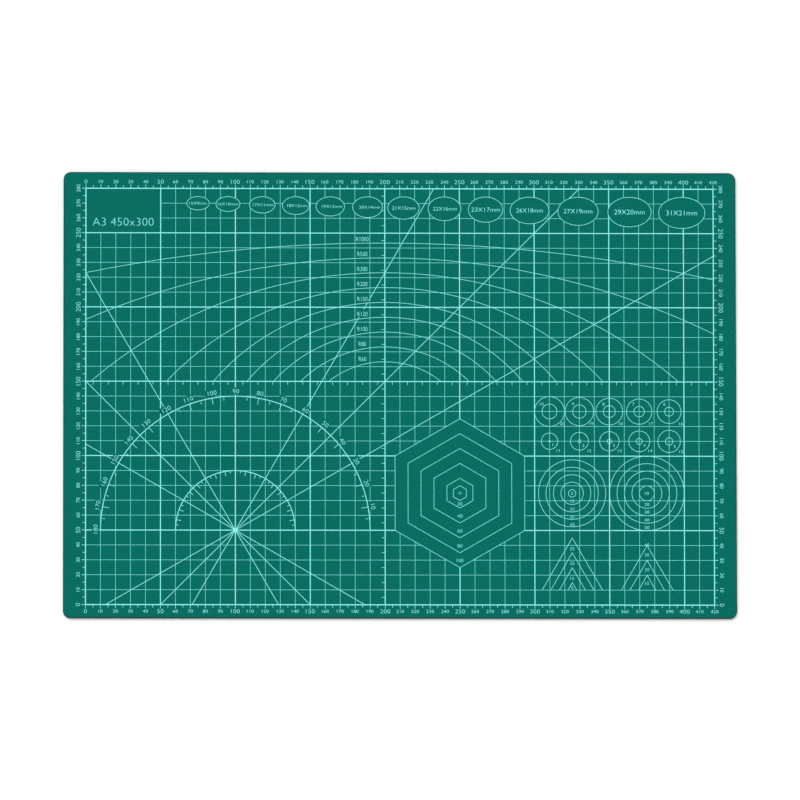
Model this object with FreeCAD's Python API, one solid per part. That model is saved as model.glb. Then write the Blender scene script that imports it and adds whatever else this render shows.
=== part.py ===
import FreeCAD, Part
import math
import os

os.makedirs("parts", exist_ok=True)

# Self healing cutting mat, in millimetres. It lies flat: X runs along the long side, Y away from
# the near long side and Z up. The origin is the middle of the underside.

# Sheet outline
mat_length = 450.0
mat_width = 300.0
corner_radius = 5.0
rim_radius = 0.6  # the soft edge that trimming and handling leave on both faces

# Plies: two soft skins that close over a cut, a stiff core, and the tie layers that bond them
healing_ply_thickness = 0.8
tie_ply_thickness = 0.3
core_ply_thickness = 0.8

# Ink, one screen printed film
ink_thickness = 0.03
bold_line = 0.6
frame_line = 0.65
fine_line = 0.24
ray_line = 0.38
protractor_line = 0.5
protractor_tick_line = 0.32
radius_line = 0.3
hexagon_line = 0.32
circle_line = 0.3
triangle_line = 0.3
oval_line = 0.3
tick_line = 0.32
smallest_mark = 0.01  # area; a screen can't print less, so smaller crumbs between lines are left out

# Scale frame. Distances on the print are counted from its zero, at the near left corner.
pitch = 10.0
bold_pitch = 50.0
side_margin = 15.0
near_margin = 9.0
far_margin = 11.0
short_tick = 1.6
long_tick = 2.25
inner_tick = 2.0

# Angle rays and the protractor share one centre
star_x = 100.0
star_y = 50.0
ray_angles = (30, 45, 60, 120, 135, 150)
outer_protractor_radius = 90.0
inner_protractor_radius = 40.0
outer_ticks = (4.0, 1.6)  # every ten degrees, every five degrees
inner_ticks = (3.0, 1.5)
outer_short_tick_gap = 0.7
label_gap = 1.0  # from a protractor line to the window of its numeral
label_height = 4.8
two_digit_window = 6.2
three_digit_window = 8.6

# Radius gauge: arcs stacked on one vertical line above the middle bold line
arc_x = 200.0
arc_base = 150.0
lowest_arc_rise = 13.3
arc_step = 10.0
arc_radii = (60, 80, 100, 120, 150, 200, 300, 500, 1000)
arc_label_x = 185.0
arc_label_drop = 2.7  # numeral centre above its own arc
arc_label_length = 8.4
arc_label_height = 5.2

# Gauges near the right side, each placed from that side of the frame
hexagon_from_right = 170.0
hexagon_y = 75.0
hexagon_radii = (5, 10, 20, 30, 40, 50)
round_gauge_y = 75.0
round_gauges = ((95.0, (5, 15, 25, 35, 45)), (45.0, (10, 20, 30, 40, 50)))
triangle_y = 10.0
triangle_gauges = ((95.0, (5, 15, 25, 35)), (45.0, (10, 20, 30)))
small_circle_from_right = (110.0, 90.0, 70.0, 50.0, 30.0)
small_circle_rows = (
    (130.0, (20, 19, 18, 17, 16), (10, 9, 8, 7, 6)),
    (110.0, (11, 12, 13, 14, 15), (1, 2, 3, 4, 5)),
)

# Oval gauge: length, height and the gap before each oval, in a row that hangs from the far line
oval_top_gap = 5.5
oval_end_gap = 5.5
ovals = (
    (15, 9, 17.5), (16, 10, 4.5), (17, 11, 6.5), (18, 12, 5.0), (19, 13, 4.5),
    (20, 14, 5.5), (21, 15, 3.5), (22, 16, 6.0), (23, 17, 5.0), (26, 18, 5.0),
    (27, 19, 6.0), (29, 20, 6.5), (31, 21, 5.0),
)

# Worked out from the values above
mat_thickness = 2 * healing_ply_thickness + 2 * tie_ply_thickness + core_ply_thickness
scale_length = pitch * math.floor((mat_length - 2 * side_margin) / pitch)
scale_height = pitch * math.floor((mat_width - near_margin - far_margin) / pitch)
scale_zero = FreeCAD.Vector(-scale_length / 2, near_margin - mat_width / 2, mat_thickness)
up = FreeCAD.Vector(0, 0, 1)


# Plies ---------------------------------------------------------------------------------------

def ply(bottom, thickness):
    """A flat sheet with rounded corners, standing on the height bottom."""
    corner = FreeCAD.Vector(-mat_length / 2, -mat_width / 2, bottom)
    block = Part.makeBox(mat_length, mat_width, thickness, corner)
    upright = [edge for edge in block.Edges if abs(edge.tangentAt(edge.FirstParameter).z) > 0.5]
    return block.makeFillet(corner_radius, upright)


def soften_rim(sheet, height):
    """Rounds the edge that runs round the sheet at this height."""
    radius = min(rim_radius, 0.9 * healing_ply_thickness)
    face = min(sheet.Faces, key=lambda side: abs(side.CenterOfMass.z - height))
    return sheet.makeFillet(radius, face.Edges)


# Flat shapes of the print, in the XY plane, counted from the scale's zero --------------------

def rectangle(x0, y0, x1, y1):
    return Part.makePlane(x1 - x0, y1 - y0, FreeCAD.Vector(x0, y0, 0))


def turned(face, x, y, angle):
    """Turns a face about the zero, then moves the zero to x, y."""
    face.rotate(FreeCAD.Vector(0, 0, 0), up, angle)
    face.translate(FreeCAD.Vector(x, y, 0))
    return face


def disc(x, y, radius):
    return Part.Face(Part.Wire(Part.makeCircle(radius, FreeCAD.Vector(x, y, 0))))


def ring(x, y, radius, line):
    return disc(x, y, radius + line / 2).cut(disc(x, y, radius - line / 2))


def oval(x, y, length, height):
    """A filled ellipse, from its length and height."""
    curve = Part.Ellipse(FreeCAD.Vector(x, y, 0), length / 2, height / 2)
    return Part.Face(Part.Wire(curve.toShape()))


def regular_polygon(x, y, radius, sides, first_angle):
    """A filled regular polygon, from the radius to its corners."""
    corners = []
    for i in range(sides + 1):
        angle = math.radians(first_angle + 360 / sides * i)
        corners.append(FreeCAD.Vector(x + radius * math.cos(angle), y + radius * math.sin(angle), 0))
    return Part.Face(Part.makePolygon(corners))


def polygon_ring(x, y, radius, sides, first_angle, line):
    """The outline of a regular polygon, drawn with a line of even width."""
    half = line / 2 / math.cos(math.pi / sides)
    outer = regular_polygon(x, y, radius + half, sides, first_angle)
    return outer.cut(regular_polygon(x, y, radius - half, sides, first_angle))


def joined(faces):
    """One shape from faces that cross or touch."""
    if len(faces) == 1:
        return faces[0]
    return faces[0].fuse(faces[1:]).removeSplitter()


def near(shape, others):
    """Those of the other shapes whose boxes meet this one's."""
    return [other for other in others if shape.BoundBox.intersect(other.BoundBox)]


def without(shapes, others):
    """The shapes with everything that the others cover taken away, as a list of faces."""
    faces = []
    for shape in shapes:
        tools = near(shape, others)
        left = shape.cut(tools) if tools else shape
        faces.extend(face for face in left.Faces if face.Area > smallest_mark)
    return faces


def within(shapes, border):
    """The part of each shape that lies inside the border."""
    faces = []
    for shape in shapes:
        faces.extend(shape.common(border).Faces)
    return faces


# The print, group by group -------------------------------------------------------------------

def bold_positions(total):
    """Every bold pitch from the zero, and the end of the scale."""
    return [i * bold_pitch for i in range(math.ceil(total / bold_pitch))] + [total]


bold_x = bold_positions(scale_length)
bold_y = bold_positions(scale_height)
half_frame = frame_line / 2
frame_inside = rectangle(half_frame, half_frame, scale_length - half_frame, scale_height - half_frame)


def bold_grid():
    """The frame and the bold lines across it, as one plate with a clear window in each cell."""
    plate = rectangle(-half_frame, -half_frame, scale_length + half_frame, scale_height + half_frame)
    windows = [rectangle(*cell) for cell in bold_cells()]
    return plate.cut(windows)


def bold_cells():
    """The clear cells between the bold lines, row by row, as x0, y0, x1, y1."""
    cells = []
    for y0, y1 in zip(bold_y, bold_y[1:]):
        low = y0 + (frame_line if y0 == 0 else bold_line) / 2
        high = y1 - (frame_line if y1 == scale_height else bold_line) / 2
        for x0, x1 in zip(bold_x, bold_x[1:]):
            left = x0 + (frame_line if x0 == 0 else bold_line) / 2
            right = x1 - (frame_line if x1 == scale_length else bold_line) / 2
            cells.append((left, low, right, high))
    return cells


def fine_grid():
    """A small lattice in each bold cell but the far left one, which is kept clear for a title."""
    lattices = []
    for x0, y0, x1, y1 in bold_cells():
        if x0 < pitch and y1 > scale_height - pitch:
            continue
        lines = []
        for i in range(math.ceil(x0 / pitch), math.floor(x1 / pitch) + 1):
            lines.append(rectangle(i * pitch - fine_line / 2, y0, i * pitch + fine_line / 2, y1))
        for i in range(math.ceil(y0 / pitch), math.floor(y1 / pitch) + 1):
            lines.append(rectangle(x0, i * pitch - fine_line / 2, x1, i * pitch + fine_line / 2))
        if lines:
            lattices.append(joined(lines))
    return lattices


def edge_ticks():
    """Ticks that stand outward from all four sides of the frame, longer at every pitch."""
    ticks = []
    half_pitch = pitch / 2
    for i in range(round(scale_length / half_pitch) + 1):
        x = i * half_pitch
        tick = long_tick if i % 2 == 0 else short_tick
        near_side = rectangle(x - tick_line / 2, -half_frame - tick, x + tick_line / 2, -half_frame)
        ticks.append(near_side)
        ticks.append(near_side.translated(FreeCAD.Vector(0, scale_height + frame_line + tick, 0)))
    for i in range(round(scale_height / half_pitch) + 1):
        y = i * half_pitch
        tick = long_tick if i % 2 == 0 else short_tick
        left_side = rectangle(-half_frame - tick, y - tick_line / 2, -half_frame, y + tick_line / 2)
        ticks.append(left_side)
        ticks.append(left_side.translated(FreeCAD.Vector(scale_length + frame_line + tick, 0, 0)))
    return ticks


def inner_scale_ticks():
    """Ticks midway between the fine lines, below the middle bold line and left of the arcs' line."""
    ticks = []
    y = arc_base - bold_line / 2
    for i in range(round(scale_length / pitch)):
        x = (i + 0.5) * pitch
        ticks.append(rectangle(x - tick_line / 2, y - inner_tick, x + tick_line / 2, y))
    x = arc_x - bold_line / 2
    for i in range(round(scale_height / pitch)):
        y = (i + 0.5) * pitch
        ticks.append(rectangle(x - inner_tick, y - tick_line / 2, x, y + tick_line / 2))
    return ticks


def angle_rays():
    """Lines through the star's centre that run on to the frame."""
    reach = scale_length + scale_height
    rays = []
    for angle in ray_angles:
        ray = rectangle(-reach, -ray_line / 2, reach, ray_line / 2)
        rays.append(turned(ray, star_x, star_y, angle))
    return joined(rays)


def half_ring(radius):
    above = rectangle(star_x - 2 * radius, star_y, star_x + 2 * radius, star_y + 2 * radius)
    return ring(star_x, star_y, radius, protractor_line).common(above)


def protractor(radius, tick_lengths, short_tick_gap):
    """A half circle with a tick every five degrees on its inner side."""
    half_circle = half_ring(radius)
    inner_side = radius - protractor_line / 2
    ticks = []
    for angle in range(5, 180, 5):
        short = angle % 10 == 5
        gap = short_tick_gap if short else 0
        # a tick that meets the line starts at its middle and is then cut back to its curve
        outer_end = inner_side - gap if gap else radius
        inner_end = inner_side - gap - tick_lengths[1 if short else 0]
        tick = rectangle(inner_end, -protractor_tick_line / 2, outer_end, protractor_tick_line / 2)
        ticks.append(turned(tick, star_x, star_y, angle))
    return [half_circle] + without(ticks, [half_circle])


def protractor_windows():
    """Clear windows for the numerals outside the outer protractor."""
    windows = []
    low = outer_protractor_radius + label_gap
    for angle in range(10, 181, 10):
        length = three_digit_window if angle >= 100 else two_digit_window
        window = rectangle(low, -length / 2, low + label_height, length / 2)
        windows.append(turned(window, star_x, star_y, angle))
    return windows


def arc_windows():
    """Clear windows for the radius gauge's numerals."""
    windows = []
    for i in range(len(arc_radii)):
        y = arc_base + lowest_arc_rise + i * arc_step + arc_label_drop
        x = arc_label_x - arc_label_length / 2
        y -= arc_label_height / 2
        windows.append(rectangle(x, y, x + arc_label_length, y + arc_label_height))
    return windows


def radius_arcs():
    """Arcs of rising radius, each drawn down to the middle bold line."""
    above = rectangle(0, arc_base, scale_length, scale_height)
    arcs = []
    for i, radius in enumerate(arc_radii):
        top = arc_base + lowest_arc_rise + i * arc_step
        arcs.append(ring(arc_x, top - radius, radius, radius_line).common(above))
    return arcs


def hexagons():
    x = scale_length - hexagon_from_right
    return [polygon_ring(x, hexagon_y, radius, 6, 90, hexagon_line) for radius in hexagon_radii]


def hexagon_area():
    """Everything inside the outermost hexagon, which the grid stays clear of."""
    radius = max(hexagon_radii) + hexagon_line / 2 / math.cos(math.pi / 6)
    return regular_polygon(scale_length - hexagon_from_right, hexagon_y, radius, 6, 90)


def round_gauge_rings():
    rings = []
    for from_right, diameters in round_gauges:
        for diameter in diameters:
            rings.append(ring(scale_length - from_right, round_gauge_y, diameter / 2, circle_line))
    return rings


def small_circles():
    rings = []
    for y, outer_diameters, inner_diameters in small_circle_rows:
        for from_right, outer, inner in zip(small_circle_from_right, outer_diameters, inner_diameters):
            rings.append(ring(scale_length - from_right, y, outer / 2, circle_line))
            rings.append(ring(scale_length - from_right, y, inner / 2, circle_line))
    return rings


def chevron(x, height):
    """The two upper sides of an equilateral triangle that stands on the triangles' line."""
    tip = triangle_y + height + triangle_line
    reach = tip - triangle_y
    outer = regular_polygon(x, tip - reach, reach, 3, 90)
    inner = outer.translated(FreeCAD.Vector(0, -2 * triangle_line, 0))
    above = rectangle(x - 2 * reach, triangle_y, x + 2 * reach, tip)
    return outer.cut(inner).common(above)


def triangles():
    """Nested triangles, which are named by their height."""
    outlines = []
    for from_right, heights in triangle_gauges:
        for height in heights:
            outlines.append(chevron(scale_length - from_right, height))
    return outlines


def oval_places():
    """Centre x, centre y, length and height of each oval. The gaps share the width that is left."""
    room = scale_length - bold_pitch - oval_end_gap - sum(length for length, height, gap in ovals)
    share = room / sum(gap for length, height, gap in ovals)
    x = bold_pitch
    places = []
    for length, height, gap in ovals:
        x += gap * share
        places.append((x + length / 2, scale_height - oval_top_gap - height / 2, length, height))
        x += length
    return places


def oval_outlines():
    outlines = []
    for x, y, length, height in oval_places():
        outer = oval(x, y, length + oval_line, height + oval_line)
        outlines.append(outer.cut(oval(x, y, length - oval_line, height - oval_line)))
    return outlines


def oval_areas():
    """Everything inside the ovals, which the grid and the rays stay clear of."""
    return [oval(x, y, length + oval_line, height + oval_line) for x, y, length, height in oval_places()]


# Output --------------------------------------------------------------------------------------

def export(name, shape):
    shape.exportStep("parts/" + name + ".step")


def export_print(name, faces):
    """Gives the flat shapes the thickness of the ink and lays them on the top face."""
    films = [face.extrude(up * ink_thickness) for face in faces]
    sheet = Part.Compound(films)
    sheet.translate(scale_zero)
    export(name, sheet)


bottom = 0.0
export("bottom_healing_ply", soften_rim(ply(bottom, healing_ply_thickness), bottom))
bottom += healing_ply_thickness
export("lower_tie_ply", ply(bottom, tie_ply_thickness))
bottom += tie_ply_thickness
export("core_ply", ply(bottom, core_ply_thickness))
bottom += core_ply_thickness
export("upper_tie_ply", ply(bottom, tie_ply_thickness))
bottom += tie_ply_thickness
export("top_healing_ply", soften_rim(ply(bottom, healing_ply_thickness), mat_thickness))

# Each group keeps off the ink that is already laid, so that no line is printed twice.
oval_ink = within(oval_outlines(), frame_inside)
hexagon_ink = within(hexagons(), frame_inside)
areas = oval_areas() + [hexagon_area()]
windows = protractor_windows() + arc_windows()
bold_ink = without([bold_grid()], areas + windows)
fine_ink = without(fine_grid(), areas + windows)
grid_ink = bold_ink + fine_ink
ray_ink = without(within([angle_rays()], frame_inside), areas + windows + grid_ink)
scale_ink = grid_ink + ray_ink + areas
tick_ink = without(inner_scale_ticks(), scale_ink)
outer_protractor = protractor(outer_protractor_radius, outer_ticks, outer_short_tick_gap)
outer_protractor_ink = without(within(outer_protractor, frame_inside), scale_ink + tick_ink)
inner_protractor = protractor(inner_protractor_radius, inner_ticks, 0)
inner_protractor_ink = without(within(inner_protractor, frame_inside), scale_ink + tick_ink)
angle_ink = outer_protractor_ink + inner_protractor_ink
arc_ink = without(within(radius_arcs(), frame_inside), scale_ink + windows + angle_ink + tick_ink)
laid = scale_ink + tick_ink + angle_ink + arc_ink
small_circle_ink = without(within(small_circles(), frame_inside), laid)
round_gauge_ink = without(within(round_gauge_rings(), frame_inside), laid + small_circle_ink)
triangle_ink = without(within(triangles(), frame_inside), laid + round_gauge_ink)

export_print("bold_grid_print", bold_ink)
export_print("fine_grid_print", fine_ink)
export_print("edge_tick_print", edge_ticks())
export_print("inner_tick_print", tick_ink)
export_print("angle_ray_print", ray_ink)
export_print("outer_protractor_print", outer_protractor_ink)
export_print("inner_protractor_print", inner_protractor_ink)
export_print("radius_arc_print", arc_ink)
export_print("hexagon_print", hexagon_ink)
export_print("small_circle_print", small_circle_ink)
export_print("round_gauge_print", round_gauge_ink)
export_print("triangle_print", triangle_ink)
export_print("oval_print", oval_ink)
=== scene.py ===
import bpy
import bmesh
from math import cos, radians, sin
from mathutils import Matrix, Vector


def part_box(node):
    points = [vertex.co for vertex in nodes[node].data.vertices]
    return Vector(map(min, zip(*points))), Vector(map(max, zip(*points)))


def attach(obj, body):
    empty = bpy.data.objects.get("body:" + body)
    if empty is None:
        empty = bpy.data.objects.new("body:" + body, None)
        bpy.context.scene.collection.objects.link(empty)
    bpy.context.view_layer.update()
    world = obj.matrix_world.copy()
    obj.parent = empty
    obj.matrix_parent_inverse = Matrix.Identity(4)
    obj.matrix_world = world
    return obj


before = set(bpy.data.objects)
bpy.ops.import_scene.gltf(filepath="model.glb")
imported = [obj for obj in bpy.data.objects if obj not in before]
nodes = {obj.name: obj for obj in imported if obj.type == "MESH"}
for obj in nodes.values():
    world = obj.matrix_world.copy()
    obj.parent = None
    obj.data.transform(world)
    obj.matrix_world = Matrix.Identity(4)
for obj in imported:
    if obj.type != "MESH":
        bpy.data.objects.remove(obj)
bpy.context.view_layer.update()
scene = bpy.context.scene
scene.view_settings.view_transform = "Standard"
mm = 0.001

# the print is counted in millimetres from its own zero, at the near left corner of the frame
printing = dict(
    frameLine=0.65,   # width of the frame's line
    pitch=10,         # between numerals
    boldPitch=50,     # between bold lines
    letterInk=0.036,  # numerals are a second coat, 0.006 higher than the lines
    sunk=0.004,       # how far a numeral's foot sits in the vinyl
)
frameLow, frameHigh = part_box("bold_grid_print")
scaleLength = round((frameHigh.x - frameLow.x) / mm - printing["frameLine"])
scaleHeight = round((frameHigh.y - frameLow.y) / mm - printing["frameLine"])
zeroX = frameLow.x / mm + printing["frameLine"] / 2
zeroY = frameLow.y / mm + printing["frameLine"] / 2
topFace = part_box("top_healing_ply")[1].z / mm
matLow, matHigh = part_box("core_ply")
print("frame loaded, scale", scaleLength, "by", scaleHeight, "mm")


def linear(hexColour):
    values = [int(hexColour[i:i + 2], 16) / 255 for i in (1, 3, 5)]
    return [v / 12.92 if v <= 0.04045 else ((v + 0.055) / 1.055) ** 2.4 for v in values] + [1.0]


def addNode(tree, kind, settings=None, inputs=None, links=None):
    node = tree.nodes.new(kind)
    for name, value in (settings or {}).items():
        setattr(node, name, value)
    for name, value in (inputs or {}).items():
        node.inputs[name].default_value = value
    for name, source in (links or {}).items():
        tree.links.new(source, node.inputs[name])
    return node


def newMaterial(name):
    material = bpy.data.materials.new(name)
    material.use_nodes = True
    tree = material.node_tree
    tree.nodes.clear()
    return material, tree


# plasticised PVC sheet, calendered and lightly embossed: deep green, matte, with a fine even grain
skin = dict(
    colour="#006358",
    mottleColour="#00675C",
    # painted shade at the rim, standing in for the shade of the rounded edge
    paintedRimShadeColour="#0E3D37",
    rimWidth=0.9,      # mm, the band at the edge where painted shade stands for the shade of the rounded edge
    paintedRimShadeCore=0.3,       # share of that band, at the very edge, that takes the full painted shade
    cornerRadius=5,    # mm
    mottleSize=45,     # mm, slow drift of the pigment over the sheet
    pebbleSize=0.8,    # mm; the real embossing is about 0.3 mm, drawn coarser so that it shows
    grainSize=0.4,     # mm, unevenness of the pebbles
    embossDepth=0.06,  # mm
    embossBump=0.8,
    pitLevel=-0.25,    # height in the relief where a pit is darkest
    crestLevel=0.35,   # and where a crest is lightest
    pitShade=0.1,      # share by which a pit is painted darker and a crest lighter: painted shade and painted light
    roughness=0.7,
    roughnessSpread=0.06,
    gloss=0.04,        # share of the reflection of smooth PVC that the embossing leaves
    ior=1.53,
)


def makeSkinVinyl():
    material, tree = newMaterial("green_embossed_pvc")
    place = addNode(tree, "ShaderNodeTexCoord").outputs["Object"]
    mottle = addNode(tree, "ShaderNodeTexNoise",
                     inputs={"Scale": 1 / (skin["mottleSize"] * mm), "Detail": 2.0},
                     links={"Vector": place})
    grain = addNode(tree, "ShaderNodeTexNoise",
                    inputs={"Scale": 1 / (skin["grainSize"] * mm), "Detail": 2.0},
                    links={"Vector": place})
    pebbles = addNode(tree, "ShaderNodeTexVoronoi",
                      inputs={"Scale": 1 / (skin["pebbleSize"] * mm)},
                      links={"Vector": place})
    # each pebble falls away from its middle, and the grain makes it uneven
    relief = addNode(tree, "ShaderNodeMath",
                     settings={"operation": "MULTIPLY_ADD"},
                     inputs={1: -1.0},
                     links={0: pebbles.outputs["Distance"], 2: grain.outputs["Fac"]})
    pigment = addNode(tree, "ShaderNodeMix",
                      settings={"data_type": "RGBA"},
                      inputs={"A": linear(skin["colour"]), "B": linear(skin["mottleColour"])},
                      links={"Factor": mottle.outputs["Fac"]})
    # painted shade in the pits of the embossing and painted light on its crests
    pits = addNode(tree, "ShaderNodeMapRange",
                   inputs={"From Min": skin["pitLevel"], "From Max": skin["crestLevel"],
                           "To Min": 1 - skin["pitShade"], "To Max": 1 + skin["pitShade"]},
                   links={"Value": relief.outputs[0]})
    embossed = addNode(tree, "ShaderNodeVectorMath",
                       settings={"operation": "SCALE"},
                       links={0: pigment.outputs["Result"], "Scale": pits.outputs[0]})
    # the rim is painted a darker, greyer green, as painted shade for the rounded edge; it is told by the
    # distance from the middles of the corner rounds
    half = (matHigh - matLow) / 2
    straight = (half.x - skin["cornerRadius"] * mm, half.y - skin["cornerRadius"] * mm, 0)
    middle = (matHigh + matLow) / 2
    centred = addNode(tree, "ShaderNodeVectorMath",
                      settings={"operation": "SUBTRACT"},
                      inputs={1: (middle.x, middle.y, 0)},
                      links={0: place})
    flat = addNode(tree, "ShaderNodeVectorMath",
                   settings={"operation": "MULTIPLY"},
                   inputs={1: (1, 1, 0)},
                   links={0: centred.outputs[0]})
    folded = addNode(tree, "ShaderNodeVectorMath",
                     settings={"operation": "ABSOLUTE"},
                     links={0: flat.outputs[0]})
    past = addNode(tree, "ShaderNodeVectorMath",
                   settings={"operation": "SUBTRACT"},
                   inputs={1: straight},
                   links={0: folded.outputs[0]})
    outside = addNode(tree, "ShaderNodeVectorMath",
                      settings={"operation": "MAXIMUM"},
                      inputs={1: (0, 0, 0)},
                      links={0: past.outputs[0]})
    reach = addNode(tree, "ShaderNodeVectorMath",
                    settings={"operation": "LENGTH"},
                    links={0: outside.outputs[0]})
    rimStart = skin["cornerRadius"] - skin["rimWidth"]
    rimShadeFull = skin["cornerRadius"] - skin["paintedRimShadeCore"] * skin["rimWidth"]
    # painted edge shade: the colour darkens towards the rim
    rimShadeMask = addNode(tree, "ShaderNodeMapRange",
                     settings={"interpolation_type": "SMOOTHSTEP"},
                     inputs={"From Min": rimStart * mm, "From Max": rimShadeFull * mm},
                     links={"Value": reach.outputs["Value"]})
    colour = addNode(tree, "ShaderNodeMix",
                     settings={"data_type": "RGBA"},
                     inputs={"B": linear(skin["paintedRimShadeColour"])},
                     links={"Factor": rimShadeMask.outputs[0], "A": embossed.outputs[0]})
    rough = addNode(tree, "ShaderNodeMapRange",
                    inputs={"To Min": skin["roughness"] - skin["roughnessSpread"],
                            "To Max": skin["roughness"] + skin["roughnessSpread"]},
                    links={"Value": grain.outputs["Fac"]})
    bump = addNode(tree, "ShaderNodeBump",
                   inputs={"Strength": skin["embossBump"], "Distance": skin["embossDepth"] * mm},
                   links={"Height": relief.outputs[0]})
    shader = addNode(tree, "ShaderNodeBsdfPrincipled",
                     inputs={"Specular IOR Level": skin["gloss"], "IOR": skin["ior"]},
                     links={"Base Color": colour.outputs["Result"], "Roughness": rough.outputs[0],
                            "Normal": bump.outputs[0]})
    addNode(tree, "ShaderNodeOutputMaterial", links={"Surface": shader.outputs[0]})
    return material


# PVC sheet where a knife has trimmed it: the cut edge shows each ply's own colour, scored by the blade,
# with painted shade in the blade marks
plies = dict(
    tieColour="#0D4F48",
    coreColour="#33403E",
    scoreLength=18,    # mm, how far a blade mark runs along the edge
    scoreHeight=0.12,  # mm, between blade marks
    scoreDepth=0.03,   # mm
    scoreBump=0.5,
    scoreShade=0.7,    # share of the ply's colour that is left in a blade mark, as painted shade
    roughness=0.72,
    gloss=0.3,
    ior=1.53,
)


def makeCutVinyl(name, colour):
    material, tree = newMaterial(name)
    place = addNode(tree, "ShaderNodeTexCoord").outputs["Object"]
    along = 1 / (plies["scoreLength"] * mm)
    up = 1 / (plies["scoreHeight"] * mm)
    stretched = addNode(tree, "ShaderNodeMapping",
                        inputs={"Scale": (along, along, up)},
                        links={"Vector": place})
    scores = addNode(tree, "ShaderNodeTexNoise",
                     inputs={"Scale": 1.0, "Detail": 4.0},
                     links={"Vector": stretched.outputs[0]})
    # the blade marks get painted shade: the colour is darker where the scores sink
    dark = [part * plies["scoreShade"] for part in linear(colour)[:3]] + [1.0]
    shade = addNode(tree, "ShaderNodeMix",
                    settings={"data_type": "RGBA"},
                    inputs={"A": dark, "B": linear(colour)},
                    links={"Factor": scores.outputs["Fac"]})
    bump = addNode(tree, "ShaderNodeBump",
                   inputs={"Strength": plies["scoreBump"], "Distance": plies["scoreDepth"] * mm},
                   links={"Height": scores.outputs["Fac"]})
    shader = addNode(tree, "ShaderNodeBsdfPrincipled",
                     inputs={"Roughness": plies["roughness"], "Specular IOR Level": plies["gloss"],
                             "IOR": plies["ior"]},
                     links={"Base Color": shade.outputs["Result"], "Normal": bump.outputs[0]})
    addNode(tree, "ShaderNodeOutputMaterial", links={"Surface": shader.outputs[0]})
    return material


# vinyl screen ink: a thin pale turquoise film, satin, a little thinner where the squeegee ran light;
# the finest lines carry less of it, so that the green below shows through and deepens them
ink = dict(
    full="#82ECE9",
    thin="#76E2DF",
    fineFull="#70E9E3",
    fineThin="#64DDD9",
    finePieces=("fine_grid_print", "inner_tick_print", "hexagon_print", "hexagon_numerals",
                "triangle_numerals"),
    patchSize=1.6,      # mm, between full and thin places
    thinLevel=0.35,     # values of the patches where the ink is thin
    fullLevel=0.65,     # and full
    thinRoughness=0.53,
    fullRoughness=0.41,
    gloss=0.35,
    ior=1.5,
)


def makeScreenInk(name, full, thin):
    material, tree = newMaterial(name)
    place = addNode(tree, "ShaderNodeTexCoord").outputs["Object"]
    patches = addNode(tree, "ShaderNodeTexNoise",
                      inputs={"Scale": 1 / (ink["patchSize"] * mm), "Detail": 3.0},
                      links={"Vector": place})
    cover = addNode(tree, "ShaderNodeMapRange",
                    inputs={"From Min": ink["thinLevel"], "From Max": ink["fullLevel"]},
                    links={"Value": patches.outputs["Fac"]})
    colour = addNode(tree, "ShaderNodeMix",
                     settings={"data_type": "RGBA"},
                     inputs={"A": linear(thin), "B": linear(full)},
                     links={"Factor": cover.outputs[0]})
    rough = addNode(tree, "ShaderNodeMapRange",
                    inputs={"To Min": ink["thinRoughness"], "To Max": ink["fullRoughness"]},
                    links={"Value": cover.outputs[0]})
    shader = addNode(tree, "ShaderNodeBsdfPrincipled",
                     inputs={"Specular IOR Level": ink["gloss"], "IOR": ink["ior"]},
                     links={"Base Color": colour.outputs["Result"], "Roughness": rough.outputs[0]})
    addNode(tree, "ShaderNodeOutputMaterial", links={"Surface": shader.outputs[0]})
    return material


skinVinyl = makeSkinVinyl()
tieVinyl = makeCutVinyl("tie_ply_cut_pvc", plies["tieColour"])
coreVinyl = makeCutVinyl("core_ply_cut_pvc", plies["coreColour"])
screenInk = makeScreenInk("turquoise_screen_ink", ink["full"], ink["thin"])
fineInk = makeScreenInk("fine_turquoise_screen_ink", ink["fineFull"], ink["fineThin"])

for name, node in nodes.items():
    if name in ink["finePieces"]:
        finish = fineInk
    elif name.endswith("_print"):
        finish = screenInk
    elif name.endswith("tie_ply"):
        finish = tieVinyl
    elif name == "core_ply":
        finish = coreVinyl
    else:
        finish = skinVinyl
    node.data.materials.clear()
    node.data.materials.append(finish)
print("materials made")

# numerals and letters, printed through the same screen as the lines
lettering = dict(
    curveSteps=3,
    thinner=0.004,  # how far the strokes are slimmed on each side, in letter sizes
    weld=1e-5,      # letter sizes
)
typeset = {}


def typesetGlyphs(text, thinner):
    curve = bpy.data.curves.new("glyphs", "FONT")
    curve.body = text
    curve.resolution_u = lettering["curveSteps"]
    curve.offset = -thinner
    holder = bpy.data.objects.new("glyphs", curve)
    scene.collection.objects.link(holder)
    bpy.context.view_layer.update()
    flat = bpy.data.meshes.new_from_object(holder.evaluated_get(bpy.context.evaluated_depsgraph_get()))
    bpy.data.objects.remove(holder)
    bpy.data.curves.remove(curve)
    glyphs = bmesh.new()
    glyphs.from_mesh(flat)
    bmesh.ops.remove_doubles(glyphs, verts=glyphs.verts, dist=lettering["weld"])
    # slimming a tight corner can lay one small triangle over its neighbour, so that one is dropped
    crossed = [edge for edge in glyphs.edges if len(edge.link_faces) == 2 and not edge.is_contiguous]
    spare = {min(edge.link_faces, key=lambda face: face.calc_area()) for edge in crossed}
    bmesh.ops.delete(glyphs, geom=list(spare), context="FACES")
    glyphs.to_mesh(flat)
    glyphs.free()
    return flat


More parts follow.
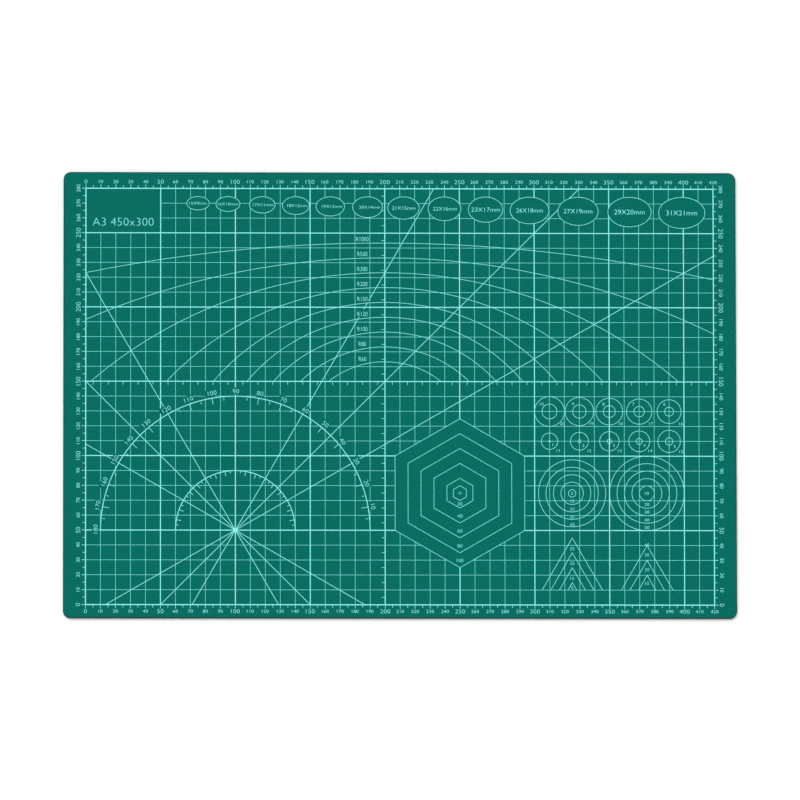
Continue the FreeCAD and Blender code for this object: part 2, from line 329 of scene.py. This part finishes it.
def printLabel(piece, text, x, y, height, stretch, turn=0, thinner=lettering["thinner"]):
    # x and y are the label's middle, and stretch widens its letters
    if (text, thinner) not in typeset:
        typeset[text, thinner] = typesetGlyphs(text, thinner)
    label = bmesh.new()
    label.from_mesh(typeset[text, thinner])
    xs = [v.co.x for v in label.verts]
    ys = [v.co.y for v in label.verts]
    tall = height / (max(ys) - min(ys))
    middle = Vector(((max(xs) + min(xs)) / 2, (max(ys) + min(ys)) / 2, 0))
    bmesh.ops.translate(label, verts=label.verts, vec=-middle)
    bmesh.ops.scale(label, verts=label.verts, vec=(tall * stretch, tall, 1))
    bmesh.ops.rotate(label, verts=label.verts, matrix=Matrix.Rotation(radians(turn), 3, "Z"))
    foot = topFace - printing["sunk"]
    bmesh.ops.translate(label, verts=label.verts, vec=(zeroX + x, zeroY + y, foot))
    bmesh.ops.scale(label, verts=label.verts, vec=(mm, mm, mm))
    lifted = bmesh.ops.extrude_face_region(label, geom=label.faces[:])["geom"]
    top = [v for v in lifted if isinstance(v, bmesh.types.BMVert)]
    bmesh.ops.translate(label, verts=top, vec=(0, 0, (printing["letterInk"] + printing["sunk"]) * mm))
    bmesh.ops.recalc_face_normals(label, faces=label.faces)
    finished = bpy.data.meshes.new("label")
    label.to_mesh(finished)
    label.free()
    piece.from_mesh(finished)
    bpy.data.meshes.remove(finished)


def layPrint(name, piece):
    mesh = bpy.data.meshes.new(name)
    piece.to_mesh(mesh)
    piece.free()
    mesh.materials.append(fineInk if name in ink["finePieces"] else screenInk)
    obj = bpy.data.objects.new(name, mesh)
    scene.collection.objects.link(obj)
    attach(obj, "root")
    print(name, len(mesh.polygons), "faces")


# numerals round the frame, every ten millimetres, larger at the bold lines;
# low and high are how far the rows stand from the frame's near or left and far or right lines
edgeNumerals = dict(
    across=dict(height=2.15, boldHeight=2.75, stretch=1.16, low=-4.4, high=4.5),
    upward=dict(height=2.45, boldHeight=3.05, stretch=1.01, low=-5.0, high=5.0),
    thinner=0.002,
    boldThinner=0.008,
)
piece = bmesh.new()
for total, side in ((scaleLength, "across"), (scaleHeight, "upward")):
    row = edgeNumerals[side]
    for value in range(0, total + 1, printing["pitch"]):
        bold = value % printing["boldPitch"] == 0
        height = row["boldHeight" if bold else "height"]
        thinner = edgeNumerals["boldThinner" if bold else "thinner"]
        if side == "across":
            places = ((value, row["low"], 0), (value, scaleHeight + row["high"], 0))
        else:
            places = ((row["low"], value, 90), (scaleLength + row["high"], value, -90))
        for x, y, turn in places:
            printLabel(piece, str(value), x, y, height, row["stretch"], turn=turn, thinner=thinner)
layPrint("edge_numerals", piece)

# numerals outside the large protractor, every ten degrees
angleNumerals = dict(
    centreX=100,
    centreY=50,
    radius=93.3,
    height=2.95,
    stretch=1.08,
    thinner=0.01,
    slides={2: 0.35, 3: 0.7},  # mm that a number stands clockwise of its tick, by its count of digits
)
piece = bmesh.new()
for angle in range(10, 181, 10):
    text = str(angle)
    bearing = radians(angle) - angleNumerals["slides"][len(text)] / angleNumerals["radius"]
    x = angleNumerals["centreX"] + angleNumerals["radius"] * cos(bearing)
    y = angleNumerals["centreY"] + angleNumerals["radius"] * sin(bearing)
    printLabel(piece, text, x, y, angleNumerals["height"], angleNumerals["stretch"],
               turn=angle - 90, thinner=angleNumerals["thinner"])
layPrint("protractor_numerals", piece)

# names of the arcs, R and the radius in millimetres, one above another
arcNames = dict(
    x=185,
    radii=(60, 80, 100, 120, 150, 200, 300, 500, 1000),
    firstY=165.2,
    step=10.1,
    height=2.9,
    stretch=0.8,
    thinner=0.006,
)
piece = bmesh.new()
for i, radius in enumerate(arcNames["radii"]):
    printLabel(piece, "R" + str(radius), arcNames["x"], arcNames["firstY"] + i * arcNames["step"],
               arcNames["height"], arcNames["stretch"], thinner=arcNames["thinner"])
layPrint("arc_numerals", piece)

# numbers of the hexagons, straight below their centre
hexagonNames = dict(
    fromRight=170,
    stretch=1.08,
    labels=(  # number, y and height
        (10, 75.1, 1.7),
        (20, 67.8, 2.3),
        (40, 59.6, 2.3),
        (60, 49.7, 2.3),
        (80, 39.6, 2.3),
        (100, 29.8, 2.3),
    ),
)
piece = bmesh.new()
x = scaleLength - hexagonNames["fromRight"]
for value, y, height in hexagonNames["labels"]:
    printLabel(piece, str(value), x, y, height, hexagonNames["stretch"])
layPrint("hexagon_numerals", piece)

# numbers of the small circles: outer diameter beside its ring, inner diameter beside the hole;
# each is given with how far it stands aside and above its circle's middle
smallCircleNames = dict(
    fromRight=(110, 90, 70, 50, 30),
    height=1.9,
    stretch=1.2,
    upperRow=dict(
        y=130,
        outer=((20, 8.6, -8.2), (19, 8.1, -8.2), (18, 7.7, -8.2), (17, 7.9, -8.2), (16, 8.0, -8.2)),
        inner=((10, -5.2, 5.0), (9, -4.2, 5.0), (8, -3.8, 5.0), (7, -3.7, 5.0), (6, -3.1, 5.0)),
    ),
    lowerRow=dict(
        y=110,
        outer=((11, 5.8, -6.3), (12, 6.6, -6.4), (13, 6.9, -6.4), (14, 7.4, -6.4), (15, 8.0, -7.0)),
        inner=((1, 2.2, -2.4), (2, 2.6, -2.7), (3, 3.0, -2.7), (4, 3.5, -2.8), (5, 3.8, -3.5)),
    ),
)
piece = bmesh.new()
for row in (smallCircleNames["upperRow"], smallCircleNames["lowerRow"]):
    for names in (row["outer"], row["inner"]):
        for fromRight, (value, aside, above) in zip(smallCircleNames["fromRight"], names):
            printLabel(piece, str(value), scaleLength - fromRight + aside, row["y"] + above,
                       smallCircleNames["height"], smallCircleNames["stretch"])
layPrint("small_circle_numerals", piece)

# numbers of the large rings and of the triangles, straight below or inside each outline;
# a column is its place from the right of the scale, then each number with its y
gaugeNames = dict(
    ring_numerals=dict(
        height=2.0,
        stretch=1.22,
        columns=(
            (95, ((5, 75), (15, 69.7), (25, 64.4), (35, 59.1), (45, 53.9))),
            (45, ((10, 75), (20, 67.6), (30, 62.4), (40, 57.1), (50, 52.1))),
        ),
    ),
    triangle_numerals=dict(
        height=2.2,
        stretch=1.04,
        columns=(
            (95.1, ((35, 37.8), (25, 28.0), (15, 17.8), (5, 11.6))),
            (45.1, ((40, 40.3), (30, 33.6), (20, 23.8), (10, 14.6))),  # the 40 is printed over the tip
        ),
    ),
)
for name, gauge in gaugeNames.items():
    piece = bmesh.new()
    for fromRight, column in gauge["columns"]:
        for value, y in column:
            printLabel(piece, str(value), scaleLength - fromRight, y, gauge["height"], gauge["stretch"])
    layPrint(name, piece)

# each oval is named by its own length and height, both taken from its line; values run left to right
ovalNames = dict(
    line=0.3,    # width of an oval's line
    weld=0.001,  # joins the loose corners of the line's mesh
    heights=(1.9, 1.95, 1.95, 1.95, 1.95, 2.0, 2.4, 2.45, 2.9, 2.9, 3.05, 3.3, 3.4),
    stretches=(1.22, 1.2, 1.2, 1.2, 1.2, 1.18, 1.08, 1.08, 1.11, 1.02, 1.05, 1.03, 1.03),
    asides=(0, 0, 0.5, 0.9, 1.2, 1.4, 0.2, 0.3, 0.1, 0, 0, 0, 0),
)


def ovalBoxes():
    outline = bmesh.new()
    outline.from_mesh(nodes["oval_print"].data)
    bmesh.ops.remove_doubles(outline, verts=outline.verts, dist=ovalNames["weld"] * mm)
    seen = set()
    boxes = []
    for start in outline.verts:
        if start in seen:
            continue
        island, waiting = [], [start]
        seen.add(start)
        while waiting:
            vert = waiting.pop()
            island.append(vert.co / mm)
            for edge in vert.link_edges:
                other = edge.other_vert(vert)
                if other not in seen:
                    seen.add(other)
                    waiting.append(other)
        xs = [co.x for co in island]
        ys = [co.y for co in island]
        boxes.append((min(xs), max(xs), min(ys), max(ys)))
    outline.free()
    return sorted(boxes)


piece = bmesh.new()
for i, (left, right, low, high) in enumerate(ovalBoxes()):
    text = "%dX%dmm" % (round(right - left - ovalNames["line"]), round(high - low - ovalNames["line"]))
    x = (left + right) / 2 - zeroX + ovalNames["asides"][i]
    y = (low + high) / 2 - zeroY
    printLabel(piece, text, x, y, ovalNames["heights"][i], ovalNames["stretches"][i])
layPrint("oval_numerals", piece)

# plain size of the sheet, in the clear panel
sizeNote = dict(text="A3 450x300", middle=24.9, baseline=254.7, height=5.4, stretch=1.03, thinner=0.018)
piece = bmesh.new()
printLabel(piece, sizeNote["text"], sizeNote["middle"], sizeNote["baseline"] + sizeNote["height"] / 2,
           sizeNote["height"], sizeNote["stretch"], thinner=sizeNote["thinner"])
layPrint("size_note", piece)

# a floor of pale uncoated paper under a white dome, with one broad lamp
studio = dict(
    floorSize=60,        # m
    floorDrop=0.0002,    # m, keeps the floor's face apart from the underside
    floorColour="#F4F4F3",
    fibreColour="#F7F7F6",
    fibreSize=2.5,       # mm
    floorRoughness=0.9,
    floorGloss=0.1,
    horizonHeight=0.35,  # sine of the height up to which the dome keeps its horizon light
    horizonLight=0.7,
    zenithLight=0.48,
    sunStrength=2.0,
    sunAngle=38,         # degrees, a broad soft source
    sunAzimuth=215,      # degrees
    sunElevation=70,     # degrees
)


def makeFloor():
    sheet = bmesh.new()
    bmesh.ops.create_grid(sheet, x_segments=1, y_segments=1, size=studio["floorSize"] / 2)
    bmesh.ops.translate(sheet, verts=sheet.verts, vec=(0, 0, -studio["floorDrop"]))
    mesh = bpy.data.meshes.new("studio_floor")
    sheet.to_mesh(mesh)
    sheet.free()
    material, tree = newMaterial("white_paper_sweep")
    place = addNode(tree, "ShaderNodeTexCoord").outputs["Object"]
    fibre = addNode(tree, "ShaderNodeTexNoise",
                    inputs={"Scale": 1 / (studio["fibreSize"] * mm)},
                    links={"Vector": place})
    colour = addNode(tree, "ShaderNodeMix",
                     settings={"data_type": "RGBA"},
                     inputs={"A": linear(studio["floorColour"]), "B": linear(studio["fibreColour"])},
                     links={"Factor": fibre.outputs["Fac"]})
    shader = addNode(tree, "ShaderNodeBsdfPrincipled",
                     inputs={"Roughness": studio["floorRoughness"],
                             "Specular IOR Level": studio["floorGloss"]},
                     links={"Base Color": colour.outputs["Result"]})
    addNode(tree, "ShaderNodeOutputMaterial", links={"Surface": shader.outputs[0]})
    mesh.materials.append(material)
    obj = bpy.data.objects.new("studio_floor", mesh)
    scene.collection.objects.link(obj)


def makeLight():
    world = bpy.data.worlds.new("studio_dome")
    scene.world = world
    world.use_nodes = True
    tree = world.node_tree
    tree.nodes.clear()
    place = addNode(tree, "ShaderNodeTexCoord").outputs["Generated"]
    height = addNode(tree, "ShaderNodeSeparateXYZ", links={"Vector": place}).outputs["Z"]
    strength = addNode(tree, "ShaderNodeMapRange",
                       inputs={"From Min": studio["horizonHeight"], "From Max": 1.0,
                               "To Min": studio["horizonLight"], "To Max": studio["zenithLight"]},
                       links={"Value": height})
    background = addNode(tree, "ShaderNodeBackground",
                         inputs={"Color": (1, 1, 1, 1)},
                         links={"Strength": strength.outputs[0]})
    addNode(tree, "ShaderNodeOutputWorld", links={"Surface": background.outputs[0]})
    lamp = bpy.data.lights.new("soft_key", "SUN")
    lamp.energy = studio["sunStrength"]
    lamp.angle = radians(studio["sunAngle"])
    obj = bpy.data.objects.new("soft_key", lamp)
    scene.collection.objects.link(obj)
    obj.rotation_euler = (radians(90 - studio["sunElevation"]), 0, radians(studio["sunAzimuth"]))


makeFloor()
makeLight()

# camera: almost straight down, square to the sheet, from far off
shot = dict(
    lens=600,              # mm
    sensor=36,             # mm
    near=0.1,              # m, nothing nearer is drawn
    far=200,               # m, nor anything farther
    aim=(0.12, -3.06, 0),  # mm
    distance=8916.1,       # mm
    azimuth=-11.657,       # degrees
    elevation=83.274,      # degrees
    roll=11.66,            # degrees
)


def makeCamera():
    azimuth, elevation, roll = (radians(shot[name]) for name in ("azimuth", "elevation", "roll"))
    back = Vector((sin(azimuth) * cos(elevation), -cos(azimuth) * cos(elevation), sin(elevation)))
    right = Vector((cos(azimuth), sin(azimuth), 0))
    up = back.cross(right)
    across = right * cos(roll) + up * sin(roll)
    upright = up * cos(roll) - right * sin(roll)
    data = bpy.data.cameras.new("camera")
    data.lens = shot["lens"]
    data.sensor_width = shot["sensor"]
    data.clip_start = shot["near"]
    data.clip_end = shot["far"]
    camera = bpy.data.objects.new("camera", data)
    scene.collection.objects.link(camera)
    camera.matrix_world = (Matrix.Translation((Vector(shot["aim"]) + back * shot["distance"]) * mm)
                           @ Matrix((across, upright, back)).transposed().to_4x4())
    scene.camera = camera


makeCamera()
print("stage set")
